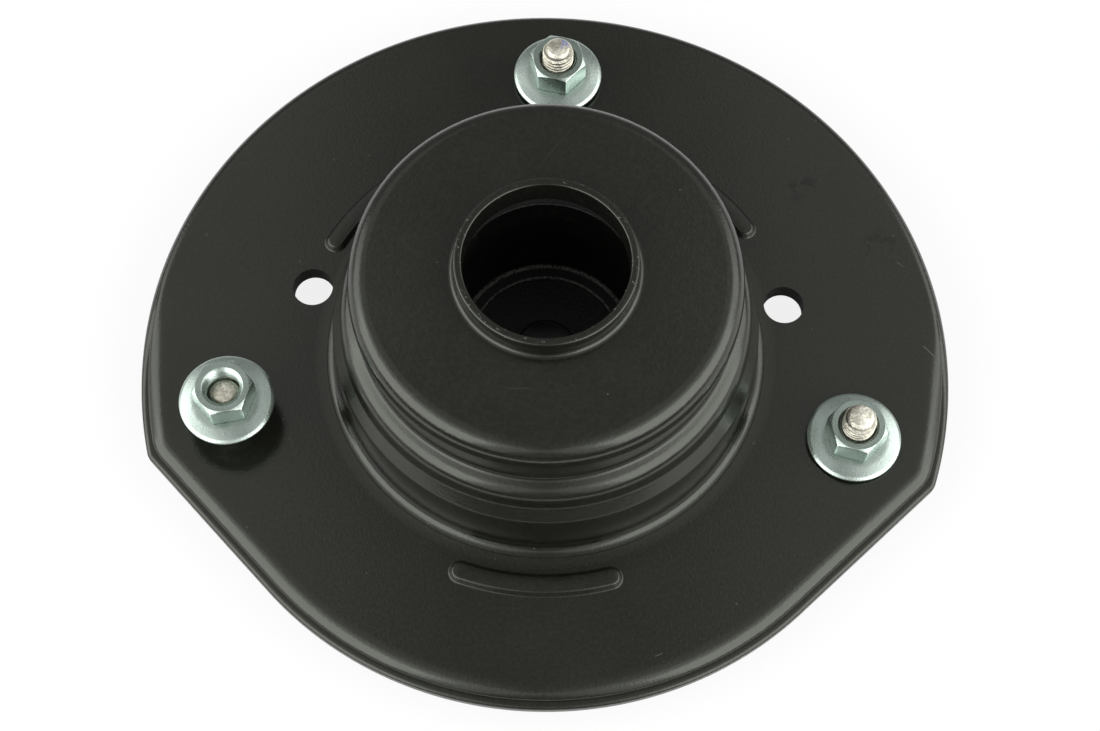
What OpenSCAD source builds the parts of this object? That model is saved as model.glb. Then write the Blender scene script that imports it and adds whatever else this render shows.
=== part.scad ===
// Strut mount: a pressed steel flange and tower with a rubber-held core for the strut rod.
// Origin on the tower's axis at the flange's top face, +Z up. Millimetres.

/* [Flange] */
// Radius of the wide rear edge
rear_r = 98.6; // [90:0.1:115]
// Distance of the rear arc's centre in front of the tower's axis
rear_shift = 1.7; // [0:0.1:6]
// Radius of the front edge about the tower's axis, which the two straight flanks continue
front_r = 88.1; // [84:0.1:96]
// Thickness of the pressed sheet
sheet_t = 2.5; // [1.5:0.1:3]
// Depth of the turned-down rim below the flange's top face
rim_drop = 5.2; // [4.5:0.1:12]
// Outer bend radius of the rim
rim_bend_r = 3; // [3:0.1:4]
// Width of the trimmed lip left outside the rim
rim_lip = 1.8; // [0.5:0.1:3]

/* [Tower] */
// Height of the tower's flat top above the flange
tower_h = 45; // [40:0.5:60]
// Radius of the cap at the top of the tower
cap_r = 45.7; // [44:0.1:46.5]
// Outer bend radius round the cap
cap_edge_r = 4.4; // [3:0.1:5]
// Distance of the neck below the tower's flat top
neck_drop = 6.4; // [6:0.1:8]
// Depth of the neck under the cap, at its root
neck_depth = 1.2; // [0.5:0.1:2]
// Height of the neck
neck_h = 9.8; // [8:0.1:11]
// Bend radius where the neck meets the shoulder
neck_bend_r = 1.5; // [1:0.1:2]
// Fall of the shoulder from the neck to the band
shoulder_drop = 2.1; // [1.5:0.1:3]
// Radius of the band under the shoulder
band_r = 48.9; // [48:0.1:49.5]
// Outer bend radius between the shoulder and the band
band_edge_r = 4.3; // [3:0.1:5]
// Height of the band
band_h = 5.5; // [5:0.1:7]
// Radius at the top of the skirt, below the flare under the band
skirt_r = 51.3; // [50.5:0.1:51.5]
// Height of the flare between the band and the skirt
flare_h = 4.4; // [3.5:0.1:6]
// Bend radius at both ends of the flare
flare_bend_r = 2.5; // [1:0.1:4]
// Radius of the skirt's foot at the flange
foot_r = 51.5; // [51.3:0.1:52.5]
// Radius of the fillet between the foot and the flange
foot_fillet_r = 3; // [2:0.1:4]

/* [Collar] */
// Radius of the hole in the tower's top
collar_hole_r = 19.2; // [15:0.1:20]
// Height of the upturned collar above the tower's top
collar_h = 5.2; // [3:0.1:8]
// Wall of the collar
collar_t = 2; // [1.2:0.1:2.5]
// Bend radius at the collar's root
collar_bend_r = 1.2; // [0.6:0.1:1.5]

/* [Beads] */
// Distance of the beads' middle line outside the tower's foot
bead_out = 9.5; // [8:0.1:12]
// Half the width of a bead at the flange's top face
bead_half_w = 3; // [2.6:0.1:3.2]
// Half the width of a bead's flat top
bead_top_half_w = 2; // [1:0.1:2.2]
// Height of a bead
bead_h = 1.4; // [0.8:0.1:1.6]
// Half the angle that a bead covers between the centres of its round ends
bead_half_angle = 17; // [10:0.5:20]
// Direction of the front bead's middle
bead_front_angle = 270; // [265:0.5:275]
// Direction of the rear right bead's middle
bead_right_angle = 53; // [50:0.5:60]
// Direction of the rear left bead's middle
bead_left_angle = 136; // [125:0.5:140]

/* [Locating holes] */
// Radius of the two locating holes
locate_hole_r = 5; // [3:0.1:5.5]
// Distance of the holes' centres outside the tower's foot
locate_out = 9.55; // [8.5:0.05:12]
// Angle of the holes behind the tower's sides
locate_angle = 14.13; // [5:0.01:25]

/* [Studs] */
// Radius of the circle that the studs stand on
stud_pitch_r = 78.6; // [76:0.1:80]
// Angle of the two side studs in front of the tower's axis
stud_side_angle = 15.2; // [12:0.1:18]
// Thread radius of a stud
stud_r = 4; // [3:0.1:5]
// Height of a stud above the flange
stud_h = 15.1; // [13:0.1:24]
// Chamfer at a stud's free end
stud_chamfer = 1; // [0.3:0.1:1.5]
// Radius of a stud's pressed-in collar
stud_neck_r = 4.6; // [4:0.1:5.4]
// Radius of a stud's head
stud_head_r = 7.5; // [6:0.1:9]
// Height of a stud's head
stud_head_h = 3; // [2:0.1:4]
// Gap round a stud's pressed-in collar
stud_fit = 0.02; // [0:0.01:0.05]

/* [Nuts] */
// Width of a nut across its flats
nut_af = 13; // [12.6:0.1:15]
// Height of a nut's hexagon
nut_h = 6.5; // [5:0.1:8]
// Chamfer angle on a nut's corners
nut_chamfer_angle = 30; // [20:1:40]
// Running gap between a nut and its stud
nut_gap = 0.06; // [0.02:0.01:0.1]
// Depth of the countersink at a nut's top
nut_sink = 0.7; // [0.2:0.1:1.2]
// Length of the spigot that holds the washer on
nut_spigot_h = 2; // [1:0.1:2.2]
// Wall of the spigot
nut_spigot_t = 1.2; // [0.6:0.1:1.3]
// Height of the rear nut's washer above the flange
nut_lift_back = 1; // [0.1:0.1:6]
// Height of the right nut's washer above the flange
nut_lift_right = 0.6; // [0.1:0.1:6]
// Height of the left nut's washer above the flange
nut_lift_left = 9; // [0.1:0.1:9]
// Turn of the rear nut
nut_turn_back = -12; // [-30:1:30]
// Turn of the right nut
nut_turn_right = -13; // [-30:1:30]
// Turn of the left nut
nut_turn_left = 13; // [-30:1:30]

/* [Washers] */
// Outer radius of a washer
washer_r = 11.5; // [9:0.1:12.5]
// Thickness of a washer
washer_t = 1.4; // [1:0.1:2]
// Rise of a washer's cone from rim to hole
washer_rise = 1; // [0.3:0.1:1.5]
// Gap between a washer and the nut that holds it
washer_gap = 0.3; // [0.1:0.05:0.4]

/* [Retainer] */
// Thickness of the lower sheet
retainer_t = 2.5; // [1.5:0.1:3]
// Gap between the lower sheet's edge and the rim
retainer_edge_gap = 1; // [0.3:0.1:3]
// Depth of the dish below the lower sheet
dish_depth = 10; // [6:0.5:16]
// Distance of the dish's floor edge inside the tower's foot
dish_in = 5.5; // [5:0.5:9]
// Radius of the opening in the dish
dish_hole_r = 31; // [28:0.5:36]
// Outer bend radius of the dish
dish_bend_r = 4; // [3:0.1:6]
// Turn of the dish's side away from level
dish_turn = 60; // [50:1:70]

/* [Core] */
// Radius of the hole for the strut's rod
rod_hole_r = 7.1; // [5:0.1:10]
// Height of the core's floor above the flange's top face
core_floor_z = 2.3; // [1:0.1:8]
// Radius of the core's sunk floor
core_step_r = 18.1; // [14:0.1:19]
// Depth of the sunk floor
core_step_h = 1.2; // [0.5:0.1:2]
// Inner radius of the core's wall
core_r = 21.9; // [20.5:0.1:23]
// Sheet thickness of the core
core_t = 2.4; // [1.5:0.1:3]
// Height of the core's wall above its shoulder
core_wall_h = 32; // [20:0.5:33]

/* [Rubber] */
// Gap left between the rubber and the pieces round it
rubber_gap = 0.3; // [0.1:0.05:0.5]
// Radius of the rubber's lip under the collar
lip_r = 20.4; // [20:0.1:22]
// Height of the rubber's lip
lip_h = 3.2; // [1:0.1:4]
// Radius of the hollow in the rubber below the core
rubber_hollow_r = 29; // [26:0.5:34]

/* [Hidden] */
$fn = 96;

black = "#2b2d2a";
rubber = "#1d1d1c";
zinc = "#c3cbc9";
steel = "#a9a698";

// Points in each bend of a section
bend_steps = 8;
// Smallest radius left in a bend on a sheet's inside
least_bend = 0.1;
// Length that cutters run past what they cut
over = 1;
// Width of the flat land by which a turned form runs into its plate
lap = 0.8;
// Step by which a bead's round ends lie inside the bead's own section
bead_end_in = 0.02;
// Reach of the flange's blanks past its edges
reach = 2 * rear_r;
// The flanks lie square to each other, an eighth of a turn from the front
flank_turn = -135;

neck_top_z = tower_h - neck_drop;
shoulder_z = neck_top_z - neck_h;
band_top_z = shoulder_z - shoulder_drop;
band_low_z = band_top_z - band_h;
// Corners of the tower's wall from the cap to the flange, each with its outer bend radius
wall_corners = [
    [collar_hole_r, tower_h],
    [cap_r, tower_h, cap_edge_r],
    [cap_r, neck_top_z, neck_bend_r],
    [cap_r - neck_depth, shoulder_z, neck_bend_r],
    [band_r, band_top_z, band_edge_r],
    [band_r, band_low_z, flare_bend_r],
    [skirt_r, band_low_z - flare_h, flare_bend_r],
    [foot_r, 0, foot_fillet_r],
    [rear_r, 0]
];
// Radius at which the tower's fillet runs into the flange
fillet_end = wall_line(0)[len(wall_line(0)) - 1][0];
collar_top_z = tower_h + collar_h;
plate_low_z = -sheet_t - retainer_t;
dish_low_z = plate_low_z - dish_depth;
bead_pitch_r = foot_r + bead_out;
locate_pitch_r = foot_r + locate_out;
dish_floor_r = foot_r - dish_in;
dish_top_r = dish_floor_r + dish_depth / 2;
core_shoulder_z = core_floor_z + core_step_h;
core_top_z = core_shoulder_z + core_wall_h;
stud_places = [
    [0, stud_pitch_r],
    stud_pitch_r * [cos(stud_side_angle), -sin(stud_side_angle)],
    stud_pitch_r * [-cos(stud_side_angle), -sin(stud_side_angle)]
];
spigot_r = stud_r + nut_gap + nut_spigot_t;
washer_hole_r = spigot_r + washer_gap;
washer_top = washer_t + washer_rise;
nut_seat = washer_top + washer_gap / 3;

function arc(centre, r, from, to) = [
    for (i = [0 : bend_steps])
    let (a = from + (to - from) * i / bend_steps)
    centre + r * [cos(a), sin(a)]
];

function reversed(points) = [for (i = [len(points) - 1 : -1 : 0]) points[i]];

// Outward direction, square to the stretch between two corners of a line
function square_out(a, b) =
    let (along = [b[0] - a[0], b[1] - a[1]])
    [-along[1], along[0]] / norm(along);

// Line through corners [r, z, bend], moved in by a distance, from its first bend to its last
function bent_line(corners, in) = [
    for (i = [1 : len(corners) - 2])
    let (
        before = square_out(corners[i - 1], corners[i]),
        after = square_out(corners[i], corners[i + 1]),
        turn = atan2(before[0] * after[1] - before[1] * after[0], before * after),
        side = sign(turn),
        mitre = (before + after) / (1 + before * after),
        r = max(corners[i][2] + side * in, least_bend),
        centre = [corners[i][0], corners[i][1]] + (side * r - in) * mitre,
        from = atan2(-side * before[1], -side * before[0])
    )
    each arc(centre, r, from, from + turn)
];

// Line of the tower's wall from the cap to the flange, moved in by a distance
function wall_line(in) = bent_line(wall_corners, in);

// Line of the collar from its top to the flat of the cap, on the outside
function collar_line() = concat(
    [[collar_hole_r, collar_top_z], [collar_hole_r + collar_t, collar_top_z]],
    arc([collar_hole_r + collar_t + collar_bend_r, tower_h + collar_bend_r], collar_bend_r, 180, 270)
);

// Line of the collar's root on the inside
function collar_root() = arc(
    [collar_hole_r + collar_bend_r, tower_h - sheet_t + collar_bend_r], collar_bend_r, 270, 180
);

// Half section of a flat plate with a bent edge, and a lip at its foot where it has one
module edge_section(r, top, bottom, bend, lip) {
    difference() {
        translate([0, bottom]) square([r, top - bottom]);
        difference() {
            translate([r - bend, top - bend]) square(bend + over);
            translate([r - bend, top - bend]) circle(bend);
        }
    }
    if (lip > 0) {
        translate([0, bottom]) square([r + lip, sheet_t]);
    }
}

// Plate with a bent edge along the front arc and along both flanks
module front_blank(in, top, bottom, bend, lip) {
    r = front_r - in;
    rotate(flank_turn) {
        rotate_extrude(angle = 90) edge_section(r, top, bottom, bend, lip);
        rotate([90, 0, 0]) linear_extrude(reach) edge_section(r, top, bottom, bend, lip);
        rotate([90, 0, 90]) mirror([0, 0, 1]) linear_extrude(reach)
            edge_section(r, top, bottom, bend, lip);
        translate([-reach, -reach, bottom]) cube([reach, reach, top - bottom]);
    }
}

// Plate of the flange's outline, moved in by a distance
module flange_blank(in, top, bottom, bend, lip) {
    intersection() {
        translate([0, -rear_shift, 0]) rotate_extrude()
            edge_section(rear_r - in, top, bottom, bend, lip);
        front_blank(in, top, bottom, bend, lip);
    }
}

// Flat outline of the flange, moved in by a distance
module flange_outline(in) {
    r = front_r - in;
    intersection() {
        translate([0, -rear_shift]) circle(rear_r - in);
        rotate(flank_turn) {
            intersection() {
                circle(r);
                square(r);
            }
            translate([-reach, -reach]) square([reach, reach + r]);
            translate([0, -reach]) square([r, reach]);
        }
    }
}

module stud_holes(r, top, bottom) {
    for (p = stud_places) {
        translate([p[0], p[1], bottom]) cylinder(r = r, h = top - bottom);
    }
}

module locating_holes(top, bottom) {
    for (side = [-1, 1]) {
        translate([side * locate_pitch_r * cos(locate_angle), locate_pitch_r * sin(locate_angle), bottom])
            cylinder(r = locate_hole_r, h = top - bottom);
    }
}

// Raised bead with rounded flanks and ends, cut flat on top
module bead(angle) {
    section_z = (pow(bead_top_half_w, 2) + pow(bead_h, 2) - pow(bead_half_w, 2)) / (2 * bead_h);
    section_r = norm([bead_half_w, section_z]);
    end_r = section_r - bead_end_in;
    intersection() {
        rotate(angle - bead_half_angle) {
            rotate_extrude(angle = 2 * bead_half_angle)
                translate([bead_pitch_r, section_z]) circle(section_r);
            for (end = [0, 2 * bead_half_angle]) {
                rotate(end) translate([bead_pitch_r, 0, section_z]) sphere(end_r);
            }
        }
        translate([0, 0, -sheet_t / 2]) cylinder(r = rear_r, h = sheet_t / 2 + bead_h);
    }
}

module tower_shell() {
    rotate_extrude() polygon(concat(
        collar_line(),
        wall_line(0),
        [[fillet_end + lap, 0], [fillet_end + lap, -sheet_t]],
        reversed(wall_line(sheet_t)),
        collar_root()
    ));
}

module upper_housing() {
    color(black) difference() {
        union() {
            difference() {
                flange_blank(0, 0, -rim_drop, rim_bend_r, rim_lip);
                flange_blank(sheet_t, -sheet_t, -rim_drop - over, rim_bend_r - sheet_t, 0);
                translate([0, 0, -rim_drop]) cylinder(r = fillet_end, h = rim_drop + over);
            }
            tower_shell();
            for (angle = [bead_front_angle, bead_right_angle, bead_left_angle]) {
                bead(angle);
            }
        }
        stud_holes(stud_neck_r + stud_fit, over, -rim_drop - over);
        locating_holes(over, -rim_drop - over);
    }
}

// Half section of the retainer's dish, a sheet that bends down to a flat floor
module dish_section() {
    bend = dish_bend_r;
    polygon(concat(
        [[dish_top_r + bend + lap, -sheet_t]],
        arc([dish_top_r + bend, -sheet_t - bend - retainer_t], bend + retainer_t, 90, 90 + dish_turn),
        arc([dish_floor_r - bend, dish_low_z + bend], bend - retainer_t, dish_turn - 90, -90),
        [[dish_hole_r, dish_low_z + retainer_t], [dish_hole_r, dish_low_z]],
        arc([dish_floor_r - bend, dish_low_z + bend], bend, -90, dish_turn - 90),
        arc([dish_top_r + bend, -sheet_t - bend - retainer_t], bend, 90 + dish_turn, 90),
        [[dish_top_r + bend + lap, plate_low_z]]
    ));
}

module lower_retainer() {
    edge = sheet_t + retainer_edge_gap;
    color(black) difference() {
        union() {
            difference() {
                translate([0, 0, plate_low_z]) linear_extrude(retainer_t) flange_outline(edge);
                translate([0, 0, plate_low_z - over])
                    cylinder(r = dish_top_r + dish_bend_r, h = retainer_t + 2 * over);
            }
            rotate_extrude() dish_section();
        }
        stud_holes(stud_neck_r + stud_fit, 0, plate_low_z - over);
        locating_holes(0, plate_low_z - over);
    }
}

// The rubber fills the tower round the core, with a lip at the top and a hollow at the bottom
module rubber_cushion() {
    out = sheet_t + rubber_gap;
    top = tower_h - out;
    low = dish_low_z + retainer_t + rubber_gap;
    core_out = core_r + core_t + rubber_gap;
    foot = core_floor_z - core_t - rubber_gap;
    color(rubber) rotate_extrude() polygon(concat(
        [[lip_r, top - lip_h], [lip_r, top]],
        [for (p = wall_line(out)) if (p[1] > foot_fillet_r && p[1] <= top) p],
        [[foot_r - out, foot_fillet_r], [foot_r - out, -sheet_t]],
        [[dish_floor_r - dish_bend_r, low], [rubber_hollow_r, low]],
        [[rubber_hollow_r, foot], [core_out, foot], [core_out, core_top_z + rubber_gap]],
        [[core_r, core_top_z + rubber_gap]]
    ));
}

module inner_core() {
    floor_low = core_floor_z - core_t;
    shoulder_low = core_shoulder_z - core_t;
    color(black) rotate_extrude() polygon([
        [rod_hole_r, core_floor_z],
        [core_step_r, core_floor_z],
        [core_step_r, core_shoulder_z],
        [core_r, core_shoulder_z],
        [core_r, core_top_z],
        [core_r + core_t, core_top_z],
        [core_r + core_t, shoulder_low],
        [core_step_r + core_t, shoulder_low],
        [core_step_r + core_t, floor_low],
        [rod_hole_r, floor_low]
    ]);
}

module stud(place) {
    color(steel) translate([place[0], place[1], 0]) rotate_extrude() polygon([
        [0, stud_h],
        [stud_r - stud_chamfer, stud_h],
        [stud_r, stud_h - stud_chamfer],
        [stud_r, -sheet_t / 2],
        [stud_neck_r, -sheet_t / 2 - (stud_neck_r - stud_r)],
        [stud_neck_r, plate_low_z],
        [stud_head_r, plate_low_z],
        [stud_head_r, plate_low_z - stud_head_h],
        [0, plate_low_z - stud_head_h]
    ]);
}

module stud_back() {
    stud(stud_places[0]);
}

module stud_right() {
    stud(stud_places[1]);
}

module stud_left() {
    stud(stud_places[2]);
}

module washer(place, lift) {
    color(zinc) translate([place[0], place[1], lift]) rotate_extrude() polygon([
        [washer_r, 0],
        [washer_r, washer_t],
        [washer_hole_r, washer_top],
        [washer_hole_r, washer_rise]
    ]);
}

module washer_back() {
    washer(stud_places[0], nut_lift_back);
}

module washer_right() {
    washer(stud_places[1], nut_lift_right);
}

module washer_left() {
    washer(stud_places[2], nut_lift_left);
}

// Hexagon with turned corners and a thin spigot that passes through the washer
module nut(place, lift, turn) {
    corner_r = nut_af / 2 / cos(30);
    cut = (corner_r - nut_af / 2) * tan(nut_chamfer_angle);
    bore = stud_r + nut_gap;
    color(zinc) translate([place[0], place[1], lift + nut_seat]) rotate(turn) difference() {
        union() {
            intersection() {
                cylinder(r = corner_r, h = nut_h, $fn = 6);
                rotate_extrude() polygon([
                    [0, 0],
                    [corner_r + over, 0],
                    [corner_r + over, nut_h - cut - over * tan(nut_chamfer_angle)],
                    [nut_af / 2, nut_h],
                    [0, nut_h]
                ]);
            }
            translate([0, 0, -nut_spigot_h]) cylinder(r = spigot_r, h = nut_spigot_h + over);
        }
        translate([0, 0, -nut_spigot_h - over])
            cylinder(r = bore, h = nut_h + nut_spigot_h + 2 * over);
        translate([0, 0, nut_h - nut_sink])
            cylinder(r1 = bore, r2 = bore + nut_sink + over, h = nut_sink + over);
    }
}

module nut_back() {
    nut(stud_places[0], nut_lift_back, nut_turn_back);
}

module nut_right() {
    nut(stud_places[1], nut_lift_right, nut_turn_right);
}

module nut_left() {
    nut(stud_places[2], nut_lift_left, nut_turn_left);
}

upper_housing();
lower_retainer();
rubber_cushion();
inner_core();
stud_back();
stud_right();
stud_left();
washer_back();
washer_right();
washer_left();
nut_back();
nut_right();
nut_left();
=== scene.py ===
import math
import bmesh
import bpy
from mathutils import Matrix, Vector


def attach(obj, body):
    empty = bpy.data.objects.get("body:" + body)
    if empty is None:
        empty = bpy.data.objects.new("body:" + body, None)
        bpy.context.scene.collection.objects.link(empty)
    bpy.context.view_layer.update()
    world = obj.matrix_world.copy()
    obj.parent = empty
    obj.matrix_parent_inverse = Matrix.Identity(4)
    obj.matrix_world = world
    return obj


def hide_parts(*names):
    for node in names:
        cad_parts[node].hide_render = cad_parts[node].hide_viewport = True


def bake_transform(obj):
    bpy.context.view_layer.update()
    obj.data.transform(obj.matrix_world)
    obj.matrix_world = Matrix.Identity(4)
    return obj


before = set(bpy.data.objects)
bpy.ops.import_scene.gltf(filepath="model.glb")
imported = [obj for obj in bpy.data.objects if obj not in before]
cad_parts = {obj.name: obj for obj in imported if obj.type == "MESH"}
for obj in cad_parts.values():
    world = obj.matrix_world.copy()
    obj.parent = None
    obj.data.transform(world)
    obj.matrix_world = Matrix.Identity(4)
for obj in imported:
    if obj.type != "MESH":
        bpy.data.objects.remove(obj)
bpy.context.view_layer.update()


# Core cup: the drawn steel cup in the middle that takes the end of the strut's rod.
# Its floor has a sunk seat round the rod hole, and it is coated in a rough dull black
# before the rubber is moulded round its wall.
MM = 0.001
ROD_HOLE_R = 7.1
CORE_SEAT_R, CORE_SEAT_Z = 18.1, 2.3
CORE_R, CORE_SHOULDER_Z, CORE_TOP_Z, CORE_T = 21.9, 3.5, 35.5, 2.4
CORE_BLACK, CORE_DUST = (0.003, 0.0032, 0.0026, 1), (0.022, 0.023, 0.02, 1)
# the pale grey below is a painted highlight along the rounded edges of the floor
CORE_EDGE_HIGHLIGHT = (0.2, 0.21, 0.18, 1)


class Shade:
    """A socket of a material's tree that takes part in plain arithmetic."""

    def __init__(self, tree, socket=None):
        self.tree, self.socket = tree, socket

    def node(self, kind, settings=None, sockets=None, out=0):
        made = self.tree.nodes.new(kind)
        for name, value in (settings or {}).items():
            if name == "stops":
                ramp = made.color_ramp.elements
                while len(ramp) < len(value):
                    ramp.new(0.5)
                for stop, (place, colour) in zip(ramp, value):
                    stop.position, stop.color = place, colour
            else:
                setattr(made, name, value)
        for name, value in (sockets or {}).items():
            if isinstance(value, Shade):
                self.tree.links.new(value.socket, made.inputs[name])
            else:
                made.inputs[name].default_value = value
        return Shade(self.tree, made.outputs[out] if len(made.outputs) else None)

    def maths(self, operation, first, second=0.0):
        return self.node("ShaderNodeMath", {"operation": operation}, {0: first, 1: second})

    def __add__(self, other):
        return self.maths("ADD", self, other)

    def __sub__(self, other):
        return self.maths("SUBTRACT", self, other)

    def __rsub__(self, other):
        return self.maths("SUBTRACT", other, self)

    def __mul__(self, other):
        return self.maths("MULTIPLY", self, other)

    __radd__, __rmul__ = __add__, __mul__


def new_finish(name):
    material = bpy.data.materials.new(name)
    material.use_nodes = True
    material.node_tree.nodes.clear()
    return material, Shade(material.node_tree)


def grain(shade, where, scale, detail=2.0, rough=0.5):
    return shade.node("ShaderNodeTexNoise", {}, {
        "Vector": where, "Scale": scale, "Detail": detail, "Roughness": rough})


def between(shade, value, low, high):
    return shade.node("ShaderNodeMapRange", {"interpolation_type": "SMOOTHSTEP"}, {
        "Value": value, "From Min": low, "From Max": high})


def within(shade, value, low, rise, fall, high):
    """Band of a length in metres that fades in and out again between limits in millimetres."""
    return between(shade, value, low * MM, rise * MM) * (1 - between(shade, value, fall * MM, high * MM))


def blended(shade, share, first, second):
    return shade.node("ShaderNodeMix", {"data_type": "RGBA"}, {0: share, 6: first, 7: second}, out=2)


def bumped(shade, height, strength, depth):
    return shade.node("ShaderNodeBump", {}, {
        "Height": height, "Strength": strength, "Distance": depth})


def coated(shade, **sockets):
    named = {name.replace("_", " "): value for name, value in sockets.items()}
    surface = shade.node("ShaderNodeBsdfPrincipled", {}, named)
    shade.node("ShaderNodeOutputMaterial", {}, {"Surface": surface})


def eased(corners, closed=False, steps=6, flat=0.0):
    """Line through corners (r, z, bend), each rounded by its bend, with flat ends to each bend."""
    line = []
    last = len(corners) - 1
    for i, (r, z, bend) in enumerate(corners):
        here = Vector((r, z))
        if not bend or (not closed and i in (0, last)):
            line.append(here)
            continue
        back = (Vector(corners[i - 1][:2]) - here).normalized()
        ahead = (Vector(corners[(i + 1) % (last + 1)][:2]) - here).normalized()
        half = back.angle(ahead) / 2
        centre = here + (back + ahead).normalized() * bend / math.sin(half)
        start = here + back * bend / math.tan(half) - centre
        end = here + ahead * bend / math.tan(half) - centre
        turn = start.angle_signed(end)
        bow = [centre + Matrix.Rotation(-turn * k / steps, 2) @ start for k in range(steps + 1)]
        line += [bow[0] + back * flat] + bow + [bow[-1] + ahead * flat] if flat else bow
    return line


def turned(section, steps, at=(0, 0), closed=True):
    """Solid of revolution of a section line in millimetres about an upright axis."""
    bm = bmesh.new()
    ring = [bm.verts.new(((at[0] + r) * MM, at[1] * MM, z * MM)) for r, z in section]
    edges = [bm.edges.new(pair) for pair in zip(ring, ring[1:] + (ring[:1] if closed else []))]
    bmesh.ops.spin(bm, geom=ring + edges, cent=(at[0] * MM, at[1] * MM, 0), axis=(0, 0, 1),
                   angle=2 * math.pi, steps=steps, use_merge=True)
    bmesh.ops.remove_doubles(bm, verts=bm.verts, dist=1e-7)
    bmesh.ops.recalc_face_normals(bm, faces=bm.faces)
    return bm


def made_piece(name, bm, material, sharp=30):
    mesh = bpy.data.meshes.new(name)
    bm.to_mesh(mesh)
    bm.free()
    mesh.shade_smooth()
    mesh.set_sharp_from_angle(angle=math.radians(sharp))
    mesh.materials.append(material)
    piece = bpy.data.objects.new(name, mesh)
    bpy.context.scene.collection.objects.link(piece)
    return piece


core_finish, shade = new_finish("rough_core_coat")
place = shade.node("ShaderNodeTexCoord", out="Object")
grit = grain(shade, place, 1900, 3, 0.65)
patches = grain(shade, place, 90, 4)
dust = between(shade, grit * 0.6 + patches * 0.5, 0.58, 0.74)
flat_place = shade.node("ShaderNodeVectorMath", {"operation": "MULTIPLY"}, {0: place, 1: (1, 1, 0)})
from_axis = shade.node("ShaderNodeVectorMath", {"operation": "LENGTH"}, {0: flat_place}, out="Value")
height = shade.node("ShaderNodeSeparateXYZ", {}, {0: place}, out="Z")
seat_edge = within(shade, from_axis, CORE_SEAT_R - 0.3, CORE_SEAT_R, CORE_SEAT_R + 0.3, CORE_SEAT_R + 0.7)
floor_edge = within(shade, from_axis, CORE_R - 1.2, CORE_R - 0.7, CORE_R - 0.3, CORE_R)
low_down = within(shade, height, CORE_SHOULDER_Z - 0.9, CORE_SHOULDER_Z - 0.5,
                  CORE_SHOULDER_Z + 1.0, CORE_SHOULDER_Z + 2.0)
# painted highlight: pale grey along the rounded seat and floor edges, broken into patches by the grit noise
edge_highlight = (seat_edge + floor_edge * 0.7) * low_down * between(shade, grit + patches * 0.4, 0.55, 0.75)
coated(shade,
       Base_Color=blended(shade, edge_highlight, blended(shade, dust, CORE_BLACK, CORE_DUST), CORE_EDGE_HIGHLIGHT),
       Roughness=0.34 + dust * 0.3,
       Specular_IOR_Level=0.35,
       Normal=bumped(shade, grit, 0.5, 0.0004))
core = made_piece("core_cup", turned(eased([
    (ROD_HOLE_R, CORE_SEAT_Z, 0.4),
    (CORE_SEAT_R, CORE_SEAT_Z, 0.35),
    (CORE_SEAT_R + 0.15, CORE_SHOULDER_Z, 0.35),
    (CORE_R, CORE_SHOULDER_Z, 1.2),
    (CORE_R, CORE_TOP_Z, 0.6),
    (CORE_R + CORE_T, CORE_TOP_Z, 0.6),
    (CORE_R + CORE_T, CORE_SHOULDER_Z - CORE_T, 2.0),
    (CORE_SEAT_R + CORE_T, CORE_SHOULDER_Z - CORE_T, 0.4),
    (CORE_SEAT_R + CORE_T - 0.2, CORE_SEAT_Z - CORE_T, 0.4),
    (ROD_HOLE_R, CORE_SEAT_Z - CORE_T, 0.4),
], closed=True), 144), core_finish)
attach(core, "core")
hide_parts("inner_core")


# Rubber cushion: black rubber moulded round the core and squeezed into the tower.
# Its lip shows as a dull ring just under the collar; in the mount the rubber gives way when the core moves.
RUBBER_TOP_Z, RUBBER_LOW_Z, RUBBER_FOOT_Z = 42.2, -12.2, -0.4
RUBBER_BORE_R, RUBBER_HOLLOW_R, LIP_R, LIP_LOW_Z = 24.6, 29.0, 20.4, 39.0
RUBBER_BLACK, RUBBER_BLOOM = (0.008, 0.008, 0.0075, 1), (0.03, 0.03, 0.028, 1)

rubber_finish, shade = new_finish("moulded_rubber")
place = shade.node("ShaderNodeTexCoord", out="Object")
skin = grain(shade, place, 1300, 3)
bloom = between(shade, grain(shade, place, 70, 5, 0.6), 0.45, 0.75)
coated(shade,
       Base_Color=blended(shade, bloom * 0.6, RUBBER_BLACK, RUBBER_BLOOM),
       Roughness=0.62 + skin * 0.25,
       Normal=bumped(shade, skin, 0.35, 0.0003))
cushion = made_piece("rubber_body", turned(eased([
    (RUBBER_BORE_R, RUBBER_TOP_Z, 0),
    (42.9, RUBBER_TOP_Z, 1.6),
    (42.9, 38.4, 1.0),
    (41.5, 27.1, 4.0),
    (46.1, 24.9, 1.5),
    (46.1, 20.5, 4.0),
    (48.5, 16.1, 1.0),
    (48.7, -2.5, 1.5),
    (41.8, RUBBER_LOW_Z, 1.5),
    (RUBBER_HOLLOW_R, RUBBER_LOW_Z, 1.5),
    (RUBBER_HOLLOW_R, RUBBER_FOOT_Z, 2.5),
    (RUBBER_BORE_R, RUBBER_FOOT_Z, 0.8),
], closed=True), 120), rubber_finish)
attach(cushion, "housing")
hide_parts("rubber_cushion")
lip = made_piece("rubber_lip", turned(eased([
    (LIP_R, LIP_LOW_Z, 1.0),
    (LIP_R, RUBBER_TOP_Z, 0.5),
    (RUBBER_BORE_R - 0.1, RUBBER_TOP_Z, 0),
    (RUBBER_BORE_R - 0.1, CORE_TOP_Z + 0.35, 0),
    (CORE_R + 0.1, CORE_TOP_Z + 0.35, 0.3),
], closed=True), 144), rubber_finish)
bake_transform(lip)
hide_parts("rubber_cushion")


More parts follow.
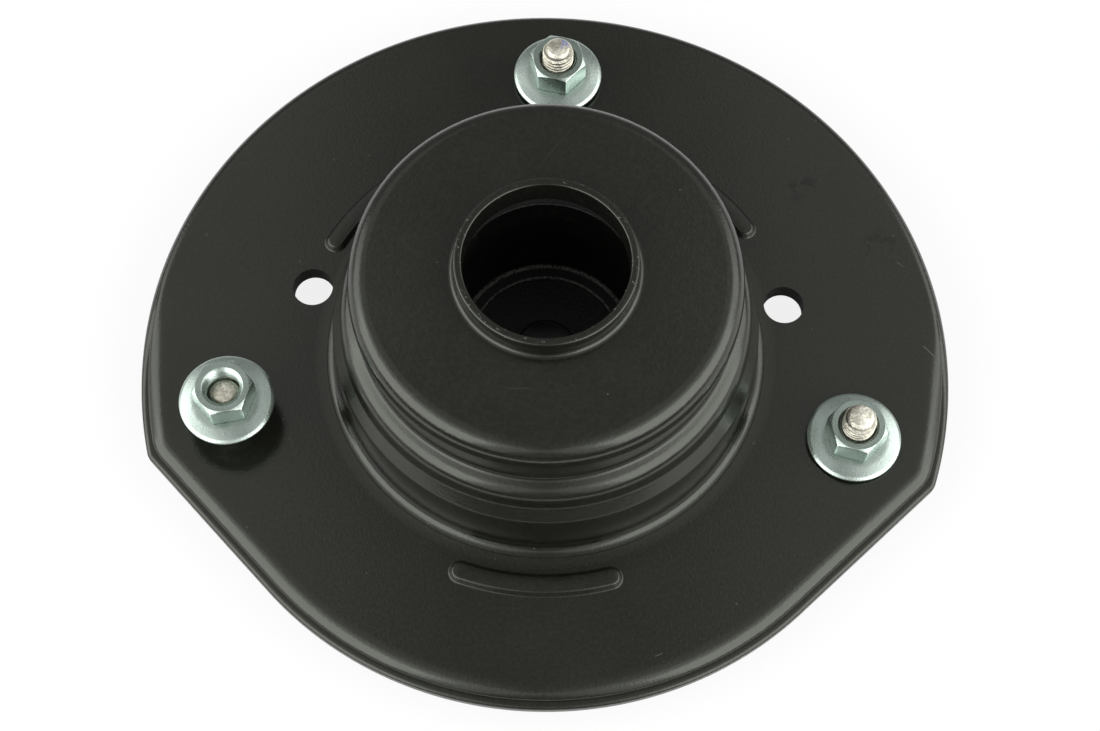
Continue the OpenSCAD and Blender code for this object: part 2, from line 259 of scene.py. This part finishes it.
# Upper housing: one pressing of 2.5 mm sheet, a flange with a bent rim and a trimmed lip, and a
# deep drawn tower with a cap, a neck and a bulged band, and a collar flared up round its hole.
# Three beads stiffen the flange. It is dipped in satin black and a little scuffed and stained.
REAR_R, REAR_SHIFT, FRONT_R = 98.6, 1.7, 88.1
SHEET_T, RIM_DROP, RIM_BEND, RIM_REACH, RIM_LIP = 2.5, 5.2, 6.0, 4.5, 1.78
CROWN_CORNER, LIP_CORNER, HOLLOW_CORNER = 12.0, 4.0, 9.0
CROWN_START, CROWN_RUN = 0.12, 0.4
LIP_Z, LIP_ROUND_W, LIP_ROUND_H = SHEET_T - RIM_DROP, 1.45, 0.9
ROLL_R, ROLL_FROM, ROLL_OVER = 3.0, -10.0, 22.0
APRON_R = 57.6
BEAD_R, BEAD_HALF_W, BEAD_TOP_HALF_W, BEAD_H, BEAD_HALF_TURN = 61.0, 3.0, 1.9, 1.4, 17.0
BEAD_TURNS = (270.0, 53.0, 136.0)
LOCATE_R, LOCATE_X, LOCATE_Y, DRILL_L = 5.0, 59.2, 14.9, 20.0
STUD_PLACES = {"back": (0.0, 78.6), "right": (75.8503, -20.6081), "left": (-75.8503, -20.6081)}
STUD_HOLE_R = 4.62
TOWER_STEPS = 192
COAT_BLACK, COAT_GREEN = (0.0045, 0.0049, 0.0036, 1), (0.0115, 0.0123, 0.0094, 1)
SCUFF_GREY, STAIN_BLACK = (0.105, 0.108, 0.1, 1), (0.0012, 0.0014, 0.001, 1)
CHIP_LOW_Z, CHIP_FULL_Z = 49.5, 50.0
# marks on the flange: stains by x, y and reach, scratches by x, y, turn, reach and depth
STAINS = ((-20.0, 80.5, 7.0), (-18.0, 70.0, 4.0), (63.5, 49.0, 6.0), (84.0, 32.5, 6.0))
SCRATCHES = ((95.2, 3.7, -45.0, 2.4, 0.6), (88.8, 27.5, -35.0, 1.4, 0.3), (0.8, 32.0, 55.0, 8.0, 0.07),
             (-29.0, -32.0, 5.0, 3.0, 0.1), (29.5, -76.5, 25.0, 1.2, 0.4))


def flange_blank(inset, corner):
    """Flat face of the flange's outline, a disc trimmed along its front arc, flanks and corners."""
    bm = bmesh.new()
    bmesh.ops.create_circle(bm, cap_ends=True, radius=(REAR_R - inset) * MM, segments=320)
    rear = Vector((0, -REAR_SHIFT, 0))
    bmesh.ops.translate(bm, verts=bm.verts, vec=rear * MM)
    front = FRONT_R - inset
    turns = [math.radians(225 + 1.5 * k) for k in range(61)]
    ways = [Vector((math.cos(turn), math.sin(turn), 0)) for turn in turns]
    trims = [(way * front, way) for way in ways]
    for flank in (ways[0], ways[-1]):
        along = Vector((flank.x, -flank.y, 0))
        off = front - corner - flank.dot(rear)
        arm = flank * off + along * math.sqrt((REAR_R - inset - corner) ** 2 - off ** 2)
        for k in range(1, 12):
            way = flank.lerp(arm.normalized(), k / 12).normalized()
            trims.append((rear + arm + way * corner, way))
    for spot, way in trims:
        bmesh.ops.bisect_plane(bm, geom=bm.verts[:] + bm.edges[:] + bm.faces[:],
                               plane_co=spot * MM, plane_no=way, clear_outer=True)
    return bm


def raised(bm, faces, profile):
    """Insets faces step by step along a profile of (inset, height) from zero."""
    before = (0.0, 0.0)
    for step in profile:
        bmesh.ops.inset_region(bm, faces=faces, use_boundary=True, use_even_offset=True,
                               thickness=(step[0] - before[0]) * MM, depth=(step[1] - before[1]) * MM)
        before = step


def ring_edges(bm, radius, at, segments, z=0.0):
    made = bmesh.ops.create_circle(bm, cap_ends=False, radius=radius * MM, segments=segments,
                                   matrix=Matrix.Translation((at[0] * MM, at[1] * MM, z * MM)))
    return list({e for v in made["verts"] for e in v.link_edges})


def bead_outline(bm, middle):
    """Domed bead along an arc of the flange, with round ends; gives the edges of its outline."""
    half = [(0.0, BEAD_H)] + [tuple(p) for p in eased([
        (0.2, BEAD_H, 0), (BEAD_TOP_HALF_W, BEAD_H, 0.7), (BEAD_HALF_W - 0.25, 0.0, 0.5),
        (BEAD_HALF_W, 0.0, 0)], steps=4)]
    first, last = (math.radians(middle + end * BEAD_HALF_TURN) for end in (-1, 1))
    before = set(bm.edges)
    for turn, sides, cent, angle, steps in (
            (first, (-1, 1), 0.0, last - first, 48),
            (first, (1,), BEAD_R, -math.pi, 20),
            (last, (1,), BEAD_R, math.pi, 20)):
        out = Vector((math.cos(turn), math.sin(turn), 0))
        line = [(side * w, h) for side in sides for w, h in half]
        row = [bm.verts.new((out * (BEAD_R + w) + Vector((0, 0, h))) * MM) for w, h in sorted(set(line))]
        edges = [bm.edges.new(pair) for pair in zip(row, row[1:])]
        bmesh.ops.spin(bm, geom=row + edges, cent=out * cent * MM, axis=(0, 0, 1), angle=angle, steps=steps)
    fresh = [e for e in bm.edges if e not in before]
    bmesh.ops.remove_doubles(bm, verts=list({v for e in fresh for v in e.verts}), dist=3e-6)
    return [e for e in bm.edges if e not in before and e.is_boundary]


def drilled(bm, drills):
    """Cuts upright round holes, each (place, radius), through a closed shell."""
    bits = bmesh.new()
    for at, radius in drills:
        bmesh.ops.create_cone(bits, cap_ends=True, segments=72, radius1=radius * MM, radius2=radius * MM,
                              depth=DRILL_L * MM, matrix=Matrix.Translation((at[0] * MM, at[1] * MM, 0)))
    pair = []
    for name, form in (("whole", bm), ("bits", bits)):
        mesh = bpy.data.meshes.new(name)
        form.to_mesh(mesh)
        pair.append(bpy.data.objects.new(name, mesh))
        bpy.context.scene.collection.objects.link(pair[-1])
    bits.free()
    cut = pair[0].modifiers.new("cut", "BOOLEAN")
    cut.object, cut.operation, cut.solver = pair[1], "DIFFERENCE", "EXACT"
    result = bpy.data.meshes.new_from_object(pair[0].evaluated_get(bpy.context.evaluated_depsgraph_get()))
    bm.clear()
    bm.from_mesh(result)
    bmesh.ops.triangulate(bm, faces=[f for f in bm.faces if len(f.verts) > 4])
    for mesh in [result] + [item.data for item in pair]:
        bpy.data.meshes.remove(mesh)


def pressed(inset, corner, z, profile, facing):
    """Edge of the flange formed along a profile from its outline at a level, open in the middle."""
    bm = flange_blank(inset, corner)
    bmesh.ops.translate(bm, verts=bm.verts, vec=(0, 0, z * MM))
    bm.normal_update()
    flat = bm.faces[:]
    if flat[0].normal.z * facing < 0:
        bmesh.ops.reverse_faces(bm, faces=flat)
    raised(bm, flat, profile)
    bmesh.ops.delete(bm, geom=flat, context="FACES_ONLY")
    return bm


def joined(bm, other):
    mesh = bpy.data.meshes.new("joined")
    other.to_mesh(mesh)
    other.free()
    bm.from_mesh(mesh)
    bpy.data.meshes.remove(mesh)


def open_edges(bm, z):
    return [e for e in bm.edges if e.is_boundary and all(abs(v.co.z - z * MM) < 1e-6 for v in e.verts)]


bend_turns = [math.asin(RIM_REACH / RIM_BEND) * (1 - k / 9) for k in range(10)]
crown = [(RIM_REACH - RIM_BEND * math.sin(t), RIM_BEND * (math.cos(t) - 1) - LIP_Z) for t in bend_turns]
crown[0] = (CROWN_START, crown[0][1])
lip_turns = [math.pi / 2 * k / 7 for k in range(1, 8)]
lip_round = [(LIP_ROUND_W * (1 - math.cos(t)), LIP_ROUND_H * math.sin(t)) for t in lip_turns]
bm = pressed(0.0, CROWN_CORNER, LIP_Z, crown + [(RIM_REACH + CROWN_RUN, -LIP_Z)], 1)
edge = pressed(-RIM_LIP, LIP_CORNER, LIP_Z - LIP_ROUND_H, lip_round, 1)
skirt = bmesh.ops.extrude_edge_only(edge, edges=open_edges(edge, LIP_Z - LIP_ROUND_H))["geom"]
bmesh.ops.translate(edge, verts=[g for g in skirt if isinstance(g, bmesh.types.BMVert)],
                    vec=(0, 0, (LIP_ROUND_H - SHEET_T) * MM))
joined(bm, edge)
bmesh.ops.triangle_fill(bm, use_beauty=True, edges=open_edges(bm, LIP_Z), normal=(0, 0, 1))
for v in bm.verts:
    # round the rear arc the lip runs out and the sheet rolls straight over
    spoke = Vector((v.co.x / MM, v.co.y / MM + REAR_SHIFT))
    swing = math.degrees(math.atan2(spoke.y, abs(spoke.x)))
    rear = max(0.0, min(1.0, (swing - ROLL_FROM) / ROLL_OVER))
    inward = max(0.0, min(ROLL_R, ROLL_R - (REAR_R + RIM_LIP - spoke.length)))
    if LIP_Z - 1 < v.co.z / MM < -0.001:
        roll_z = math.sqrt(ROLL_R ** 2 - inward ** 2) - ROLL_R
        v.co.z += (roll_z * MM - v.co.z) * rear * rear * (3 - 2 * rear)
joined(bm, pressed(SHEET_T, HOLLOW_CORNER, -RIM_DROP, [
    (0.05, LIP_Z + 0.45), (0.5, LIP_Z)], -1))
sheet_faces = {0.0: open_edges(bm, 0.0), -SHEET_T: open_edges(bm, -SHEET_T)}
bmesh.ops.triangle_fill(bm, use_beauty=True, edges=open_edges(bm, -RIM_DROP), normal=(0, 0, 1))
walls = []
for z, loops in sheet_faces.items():
    loops += ring_edges(bm, APRON_R, (0, 0), TOWER_STEPS, z)
    for spot in STUD_PLACES.values():
        walls.append(ring_edges(bm, STUD_HOLE_R, spot, 32, z))
        loops += walls[-1]
    if z == 0.0:
        for middle in BEAD_TURNS:
            loops += bead_outline(bm, middle)
    bmesh.ops.triangle_fill(bm, use_beauty=True, edges=loops, normal=(0, 0, 1))
for upper, lower in zip(walls[:len(STUD_PLACES)], walls[len(STUD_PLACES):]):
    bmesh.ops.bridge_loops(bm, edges=upper + lower)
# the tower's outer line from the flange up to the collar, then its inner line back down
tower = turned(eased([
    (APRON_R, 0.0, 0),
    (55.75, 0.0, 22.0),
    (51.5, 0.6, 3.0),
    (51.3, 16.8, 2.5),
    (48.9, 21.2, 2.5),
    (48.9, 26.7, 4.3),
    (44.5, 28.8, 1.5),
    (45.7, 38.6, 1.5),
    (45.7, 45.0, 4.4),
    (21.2, 45.0, 1.2),
    (21.2, 50.2, 0.6),
    (19.2, 50.2, 0.5),
    (19.2, 42.5, 1.2),
    (43.2, 42.5, 1.9),
    (43.2, 38.45, 0.5),
    (41.8, 27.3, 4.0),
    (46.4, 25.1, 1.8),
    (46.4, 20.6, 5.0),
    (48.8, 16.15, 0.5),
    (49.0, -2.5, 5.5),
    (APRON_R, -2.5, 0),
], steps=10, flat=0.15), TOWER_STEPS, closed=False)
joined(bm, tower)
bmesh.ops.remove_doubles(bm, verts=bm.verts, dist=2e-6)
bmesh.ops.recalc_face_normals(bm, faces=bm.faces)
drilled(bm, [((side * LOCATE_X, LOCATE_Y), LOCATE_R) for side in (-1, 1)])

coat_finish, shade = new_finish("satin_black_coat")
place = shade.node("ShaderNodeTexCoord", out="Object")
peel = grain(shade, place, 1500, 2)
cloud = grain(shade, place, 28, 4, 0.6)
smudge = between(shade, grain(shade, place, 45, 2, 0.4), 0.45, 0.75)
cells = {"Vector": place, "Scale": 420.0}
speck_cells = shade.node("ShaderNodeTexVoronoi", {}, cells, out="Distance")
speck_pick = shade.node("ShaderNodeTexWhiteNoise", {"noise_dimensions": "3D"}, {
    "Vector": shade.node("ShaderNodeTexVoronoi", {}, cells, out="Position")}, out="Value")
specks = (1 - between(shade, speck_cells, 0.05, 0.13)) * between(shade, speck_pick, 0.965, 0.97)
streak_place = shade.node("ShaderNodeMapping", {}, {
    "Vector": place, "Rotation": (0.0, 0.0, 0.7), "Scale": (1.0, 26.0, 8.0)})
streaks = between(shade, grain(shade, streak_place, 42, 3, 0.7), 0.7, 0.78) * smudge
height = shade.node("ShaderNodeSeparateXYZ", {}, {0: place}, out="Z")
fine = grain(shade, place, 1100, 3, 0.6)
chips = between(shade, height, CHIP_LOW_Z * MM, CHIP_FULL_Z * MM) * between(shade, fine, 0.63, 0.7)
wear = specks * 0.5 + streaks * 0.22 + chips
for x, y, turn, reach, depth in SCRATCHES:
    along = shade.node("ShaderNodeMapping", {"vector_type": "TEXTURE"}, {
        "Vector": place, "Location": (x * MM, y * MM, 0.0), "Rotation": (0.0, 0.0, math.radians(turn))})
    offsets = [shade.maths("ABSOLUTE", shade.node("ShaderNodeSeparateXYZ", {}, {0: along}, out=axis))
               for axis in ("X", "Y")]
    wear += ((1 - between(shade, offsets[0], reach * 0.5 * MM, reach * MM))
             * (1 - between(shade, offsets[1], 0.08 * MM, 0.2 * MM)) * depth)
stain = shade.maths("ADD", 0.0)
for x, y, reach in STAINS:
    off = shade.node("ShaderNodeVectorMath", {"operation": "DISTANCE"}, {
        0: place, 1: (x * MM, y * MM, 0.0)}, out="Value")
    stain += 1 - between(shade, off, reach * 0.4 * MM, reach * MM)
stain *= between(shade, grain(shade, place, 330, 3, 0.55), 0.5, 0.6)
mottle = cloud * 0.6 + between(shade, fine, 0.35, 0.7) * 0.6 - 0.1
paint = blended(shade, stain, blended(shade, mottle, COAT_BLACK, COAT_GREEN), STAIN_BLACK)
coated(shade,
       Base_Color=blended(shade, wear, paint, SCUFF_GREY),
       Roughness=0.15 + cloud * 0.06 + smudge * 0.05 + peel * 0.02 + stain * 0.12,
       Specular_IOR_Level=0.65,
       Specular_Tint=(0.97, 1.0, 0.9, 1),
       Normal=bumped(shade, peel, 0.14, 0.0002))
housing = made_piece("upper_housing_pressing", bm, coat_finish)
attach(housing, "housing")
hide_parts("upper_housing")


# Lower retainer: the second sheet under the flange, dished in the middle to carry the rubber.
# It has the housing's black coat.
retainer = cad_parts["lower_retainer"]
retainer.data.materials.clear()
retainer.data.materials.append(coat_finish)


# Studs: three cold-headed M8 studs pressed up through both sheets, heads below.
# Rolled threads that run out on a blunt domed end, plated a warm grey. The rear one has a paint dab.
STUD_TOP_Z, THREAD_R, THREAD_ROOT_R, PITCH = 15.1, 3.98, 3.36, 1.25
POINT_H, POINT_R, POINT_ROUND, DOME_H = 2.0, 2.75, 0.4, 0.15
SHANK_TOP_Z, SHANK_R, SHANK_LOW_Z, HEAD_LOW_Z, HEAD_R = -1.0, 4.55, -5.0, -8.0, 7.5
# the last colour is painted shade for the thread grooves
STUD_GREY, STUD_PALE, STUD_GROOVE_SHADE = (0.5, 0.48, 0.39, 1), (0.92, 0.9, 0.78, 1), (0.06, 0.057, 0.045, 1)
DAB_BLUE, DAB_AT, DAB_R, DAB_EDGE_R = (0.06, 0.09, 0.3, 1), (1.6, 79.6, 15.2), 1.9, 2.6
THREAD_STEPS = 40


def threaded(at, low, high, root, crest):
    """Helical thread surface about an upright axis, one turn a pitch, cut level at both ends."""
    bm = bmesh.new()
    start = low - 2 * PITCH
    ridge = [(root, 0.06), (crest, 0.44), (crest, 0.56), (root, 0.94), (root, 1.06)]
    line = [bm.verts.new(((at[0] + r) * MM, at[1] * MM, (start + p * PITCH) * MM)) for r, p in ridge]
    edges = [bm.edges.new(pair) for pair in zip(line, line[1:])]
    turns = math.ceil((high - low) / PITCH) + 3
    bmesh.ops.spin(bm, geom=line + edges, cent=(at[0] * MM, at[1] * MM, 0), axis=(0, 0, 1),
                   dvec=(0, 0, PITCH * MM / THREAD_STEPS), angle=2 * math.pi * turns,
                   steps=THREAD_STEPS * turns)
    bmesh.ops.remove_doubles(bm, verts=bm.verts, dist=1e-6)
    for z, out in ((low, -1), (high, 1)):
        bmesh.ops.bisect_plane(bm, geom=bm.verts[:] + bm.edges[:] + bm.faces[:], dist=1e-7,
                               plane_co=(0, 0, z * MM), plane_no=(0, 0, out), clear_outer=True)
    return bm


stud_finish, shade = new_finish("plated_stud")
place = shade.node("ShaderNodeTexCoord", out="Object")
bite = grain(shade, place, 1500, 4, 0.6)
tarnish = grain(shade, place, 260, 4, 0.6)
dab_spot = shade.node("ShaderNodeVectorMath", {"operation": "DISTANCE"}, {
    0: place, 1: [c * MM for c in DAB_AT]}, out="Value")
dab = 1 - between(shade, dab_spot + bite * 0.0014, DAB_R * MM, DAB_EDGE_R * MM)
dab *= between(shade, tarnish, 0.42, 0.5)
groove = shade.node("ShaderNodeAttribute", {"attribute_name": "groove"}, out="Fac")
shine_share = between(shade, tarnish * 0.7 + bite * 0.4, 0.4, 0.68)
# painted shade: the thread grooves are painted darker the deeper they are
plating = blended(shade, between(shade, groove, 0.15, 0.6) * 0.95,
                  blended(shade, shine_share, STUD_GREY, STUD_PALE), STUD_GROOVE_SHADE)
coated(shade,
       Base_Color=blended(shade, dab * 0.8, plating, DAB_BLUE),
       Metallic=1 - dab * 0.8,
       Roughness=0.3 + bite * 0.25,
       Normal=bumped(shade, tarnish * 2 + bite, 0.55, 0.0004))
for side, spot in STUD_PLACES.items():
    end_z = STUD_TOP_Z - DOME_H
    bm = threaded(spot, SHANK_TOP_Z, end_z, THREAD_ROOT_R, THREAD_R)
    groove_layer = bm.verts.layers.float.new("groove")
    for v in bm.verts:
        # the thread runs out on a blunt point with a rounded edge
        out = Vector((v.co.x - spot[0] * MM, v.co.y - spot[1] * MM))
        z = v.co.z / MM
        taper = max(0.0, z - end_z + POINT_H) / POINT_H
        brow = min(1.0, max(0.0, z - end_z + POINT_ROUND) / POINT_ROUND)
        limit = THREAD_R - (THREAD_R - POINT_R) * taper - POINT_ROUND * (1 - math.sqrt(1 - brow * brow))
        v[groove_layer] = max(0.0, min(limit, THREAD_R) - out.length / MM) / (THREAD_R - THREAD_ROOT_R)
        if out.length > limit * MM:
            out *= limit * MM / out.length
            v.co.x, v.co.y = spot[0] * MM + out.x, spot[1] * MM + out.y
    bmesh.ops.holes_fill(bm, edges=open_edges(bm, SHANK_TOP_Z), sides=0)
    end_face = bmesh.ops.holes_fill(bm, edges=open_edges(bm, end_z), sides=0)["faces"]
    for v in bmesh.ops.poke(bm, faces=end_face)["verts"]:
        v.co.z = STUD_TOP_Z * MM
    head = turned(eased([
        (0, SHANK_TOP_Z, 0),
        (SHANK_R, SHANK_TOP_Z, 0.2),
        (SHANK_R, SHANK_LOW_Z, 0),
        (HEAD_R, SHANK_LOW_Z, 0.4),
        (HEAD_R, HEAD_LOW_Z, 0.8),
        (0, HEAD_LOW_Z, 0),
    ]), 48, spot, closed=False)
    joined(bm, head)
    bmesh.ops.recalc_face_normals(bm, faces=bm.faces)
    stud = made_piece("threaded_stud_" + side, bm, stud_finish, sharp=40)
    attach(stud, "housing")
    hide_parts("stud_" + side)


# Conical washers: stamped spring-steel cups with a rolled rim, held loosely on their nuts.
# Zinc plated, bright with a faint blue-green cast and a fine speckle.
WASHER_R, WASHER_HOLE_R, WASHER_T, WASHER_RISE = 11.5, 5.56, 1.4, 1.0
WASHER_LIFT = {"back": 1.0, "right": 0.6, "left": 9.0}
ZINC_DARK, ZINC_PALE = (0.3, 0.375, 0.33, 1), (0.67, 0.76, 0.705, 1)

zinc_finish, shade = new_finish("bright_zinc")
place = shade.node("ShaderNodeTexCoord", out="Object")
speckle = grain(shade, place, 2100, 3, 0.6)
stain = grain(shade, place, 210, 4, 0.6)
pits = between(shade, grain(shade, place, 3200, 2), 0.6, 0.72)
ring = shade.node("ShaderNodeAttribute", {"attribute_name": "ring"}, out="Fac")
turning = shade.maths("SINE", ring * 21.0) * 0.22 - ring * 0.05
brightness = speckle * 0.55 + stain * 0.5 - pits * 0.25 + turning
coated(shade,
       Base_Color=blended(shade, brightness, ZINC_DARK, ZINC_PALE),
       Metallic=1.0,
       Roughness=0.2 + stain * 0.16 + pits * 0.2,
       Normal=bumped(shade, speckle, 0.25, 0.00015))
for side, spot in STUD_PLACES.items():
    lift = WASHER_LIFT[side]
    washer = made_piece("cone_washer_" + side, turned(eased([
        (WASHER_R, lift, 0.4),
        (WASHER_R, lift + 0.95, 0.4),
        (WASHER_R - 0.7, lift + WASHER_T + 0.05, 1.5),
        (WASHER_HOLE_R + 2.6, lift + WASHER_T + WASHER_RISE - 0.15, 6.0),
        (WASHER_HOLE_R, lift + WASHER_T + WASHER_RISE, 0.1),
        (WASHER_HOLE_R, lift + WASHER_RISE, 0.1),
    ], closed=True), 112, spot), zinc_finish)
    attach(washer, side + "_washer")
    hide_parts("washer_" + side)


# Nuts: 13 mm hexagon nuts with turned corners and a countersunk thread, zinc plated.
# A spigot below goes through the washer and is spread to keep it on.
NUT_AF, NUT_H, NUT_SEAT, SPIGOT_H, SPIGOT_R = 13.0, 6.5, 2.5, 2.0, 5.26
NUT_BORE_R, NUT_SINK_R, NUT_BLANK_R, NUT_FOOT_R = 4.06, 4.75, 7.0, 6.9
NUT_FACE_R, NUT_CHAMFER, NUT_GROOVES = NUT_AF / 2 - 0.15, 30.0, 3
NUT_TURN = {"back": -12.0, "right": -13.4, "left": 13.4}
NUT_RINGS = (0.0, 0.12, 0.35, 0.7, 2.0, 3.5, 4.6, 5.0, 5.3, 5.6, 5.8, 6.0, 6.15, 6.3, 6.4, 6.46, 6.5)


def soft_min(a, b, ease):
    share = max(0.0, min(1.0, 0.5 + (b - a) / (2 * ease)))
    return b + (a - b) * share - ease * share * (1 - share)


for side, spot in STUD_PLACES.items():
    low = WASHER_LIFT[side] + NUT_SEAT
    section = [(NUT_BORE_R, low - SPIGOT_H), (SPIGOT_R - 0.2, low - SPIGOT_H),
               (SPIGOT_R, low - SPIGOT_H + 0.2), (SPIGOT_R, low)]
    section += [(NUT_BLANK_R, low + z) for z in NUT_RINGS]
    section += [(NUT_SINK_R + 0.25, low + NUT_H), (NUT_SINK_R, low + NUT_H - 0.12),
                (NUT_BORE_R, low + NUT_H - 0.85)]
    for k in range(NUT_GROOVES):
        groove_z = low + NUT_H - 1.0 - k * PITCH
        section += [(NUT_BORE_R, groove_z), (NUT_BORE_R + 0.5, groove_z - PITCH * 0.45),
                    (NUT_BORE_R, groove_z - PITCH * 0.9)]
    bm = turned(section, 180, spot)
    ring_layer = bm.verts.layers.float.new("ring")
    for v in bm.verts:
        out = Vector((v.co.x - spot[0] * MM, v.co.y - spot[1] * MM)) / MM
        if v.co.z / MM > low + NUT_H - 0.15:
            v[ring_layer] = min(out.length, NUT_FACE_R)
        if out.length < NUT_FOOT_R:
            continue
        z = v.co.z / MM - low
        turn = math.degrees(math.atan2(out.y, out.x)) - NUT_TURN[side]
        faces = [NUT_AF / 2 / max(0.2, math.cos(math.radians(turn - a))) for a in range(30, 390, 60)
                 if math.cos(math.radians(turn - a)) > 0.5]
        faces.sort()
        flat = soft_min(faces[0], faces[1], 0.12) if len(faces) > 1 else faces[0]
        cone = NUT_FACE_R + (NUT_H - z) / math.tan(math.radians(NUT_CHAMFER))
        foot = NUT_FOOT_R + 4 * z
        reach = soft_min(soft_min(flat, cone, 0.25), foot, 0.1)
        out *= reach / out.length
        v.co.x, v.co.y = (spot[0] + out.x) * MM, (spot[1] + out.y) * MM
    bmesh.ops.recalc_face_normals(bm, faces=bm.faces)
    nut = made_piece("hex_nut_" + side, bm, zinc_finish, sharp=24)
    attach(nut, side + "_nut")
    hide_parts("nut_" + side)


# Studio: a plain white table in a pale room, with soft boxes to the left and the right.
# The camera looks down at the photograph's angle.
TABLE_Z, TABLE_R = -15.05, 4.0
TABLE_WHITE, TABLE_GLOW, FRONT_SHADE_LEVEL, ROOM_GLOW = (0.86, 0.86, 0.86, 1), 0.85, 0.12, 0.27
# distances in metres over which the table starts to show, to be mirrored, and to fall into shade in gloss,
# painted shade at the front
BARE_TABLE, NEAR_TABLE = (0.046, 0.05), (0.104, 0.116)
FRONT_SHADE, REAR_SHADE = (0.124, 0.144), (0.0, -0.08)
PHOTO_FOCAL, PHOTO_WIDTH, SENSOR_WIDTH = 2000, 1100, 36.0
# soft boxes by spread of their side's turn, rise, distance, width, height and watts
LAMPS = {"box": (1.0, 28, 0.9, 1.2, 0.66, 5.5), "veil": (1.0, 32, 1.0, 2.3, 1.15, 6.0),
         "roof": (1.4, 66, 1.0, 2.0, 0.57, 1.3), "wing": (1.85, 30, 1.0, 0.5, 0.6, 1.3)}
CAM_TURN, CAM_RISE, CAM_ROLL = 0.02713, 1.1613, 0.01359
CAM_FAR, CAM_RIGHT, CAM_UP = 496.72, 1.08577, -3.8408

table_finish, shade = new_finish("white_table")
path = shade.node("ShaderNodeLightPath", out="Is Camera Ray")
shine = shade.node("ShaderNodeLightPath", out="Is Glossy Ray")
through = shade.node("ShaderNodeLightPath", out="Is Transmission Ray")
place = shade.node("ShaderNodeTexCoord", out="Object")
reach = shade.node("ShaderNodeVectorMath", {"operation": "LENGTH"}, {0: place}, out="Value")
ahead = 0.0 - shade.node("ShaderNodeSeparateXYZ", {}, {0: place}, out="Y")
shown = shade.maths("MAXIMUM", path, through) * between(shade, reach, *BARE_TABLE)
shaded_ends = between(shade, ahead, *FRONT_SHADE) + between(shade, ahead, *REAR_SHADE) * 0.8
mirrored = shine * between(shade, reach, *NEAR_TABLE) * (1 - shaded_ends)
matt = shade.node("ShaderNodeBsdfDiffuse", {}, {"Color": TABLE_WHITE})
glow = shade.node("ShaderNodeEmission", {}, {"Color": (1, 1, 1, 1), "Strength": 1.0})
lit_table = shade.node("ShaderNodeMixShader", {}, {0: (shown + mirrored) * TABLE_GLOW, 1: matt, 2: glow})
# painted shade: beyond the front, the table seen in gloss is a dim glow instead of the lit table
shaded_front = shine * between(shade, ahead, *FRONT_SHADE)
painted_front_shade = shade.node("ShaderNodeEmission", {}, {"Color": (1, 1, 1, 1), "Strength": FRONT_SHADE_LEVEL})
table_surface = shade.node("ShaderNodeMixShader", {}, {0: shaded_front, 1: lit_table, 2: painted_front_shade})
from_below = shade.node("ShaderNodeNewGeometry", out="Backfacing")
clear = shade.node("ShaderNodeBsdfTransparent")
shade.node("ShaderNodeOutputMaterial", {}, {
    "Surface": shade.node("ShaderNodeMixShader", {}, {0: from_below, 1: table_surface, 2: clear})})
bm = bmesh.new()
bmesh.ops.create_circle(bm, cap_ends=True, radius=TABLE_R, segments=64,
                        matrix=Matrix.Translation((0, 0, TABLE_Z * MM)))
table = made_piece("white_table", bm, table_finish)

world = bpy.data.worlds.new("pale_room")
bpy.context.scene.world = world
world.use_nodes = True
world.node_tree.nodes.clear()
sky = Shade(world.node_tree)
seen = sky.node("ShaderNodeLightPath", out="Is Camera Ray")
room = sky.node("ShaderNodeBackground", {}, {"Color": (1, 1, 1, 1), "Strength": ROOM_GLOW})
paper = sky.node("ShaderNodeBackground", {}, {"Color": (1, 1, 1, 1), "Strength": 1.0})
sky.node("ShaderNodeOutputWorld", {}, {
    "Surface": sky.node("ShaderNodeMixShader", {}, {0: seen, 1: room, 2: paper})})


def soft_box(name, turn, rise, far, width, height, watts):
    """Soft box aimed at the part from a direction, its turn measured from the front."""
    lamp = bpy.data.lights.new(name, "AREA")
    lamp.shape, lamp.size, lamp.size_y, lamp.energy = "RECTANGLE", width, height, watts
    holder = bpy.data.objects.new(name, lamp)
    turn, rise = math.radians(turn), math.radians(rise)
    way = Vector((math.sin(turn) * math.cos(rise), -math.cos(turn) * math.cos(rise), math.sin(rise)))
    holder.location = way * far
    holder.rotation_euler = way.to_track_quat("Z", "Y").to_euler()
    bpy.context.scene.collection.objects.link(holder)


for side, turn in (("left", -62), ("right", 66)):
    for kind, (spread, rise, far, width, height, watts) in LAMPS.items():
        soft_box(side + "_" + kind, turn * spread, rise, far, width, height, watts)

back = Vector((math.sin(CAM_TURN) * math.cos(CAM_RISE), -math.cos(CAM_TURN) * math.cos(CAM_RISE),
               math.sin(CAM_RISE)))
level = Vector((math.cos(CAM_TURN), math.sin(CAM_TURN), 0))
upright = back.cross(level)
right = math.cos(CAM_ROLL) * level + math.sin(CAM_ROLL) * upright
up = math.cos(CAM_ROLL) * upright - math.sin(CAM_ROLL) * level
lens = bpy.data.cameras.new("photo_camera")
lens.sensor_width, lens.lens = SENSOR_WIDTH, SENSOR_WIDTH * PHOTO_FOCAL / PHOTO_WIDTH
lens.clip_start = 0.01
camera = bpy.data.objects.new("photo_camera", lens)
stand = (back * CAM_FAR + right * CAM_RIGHT + up * CAM_UP) * MM
camera.matrix_world = Matrix.Translation(stand) @ Matrix((right, up, back)).transposed().to_4x4()
bpy.context.scene.collection.objects.link(camera)
bpy.context.scene.camera = camera
bpy.context.scene.view_settings.view_transform = "Standard"
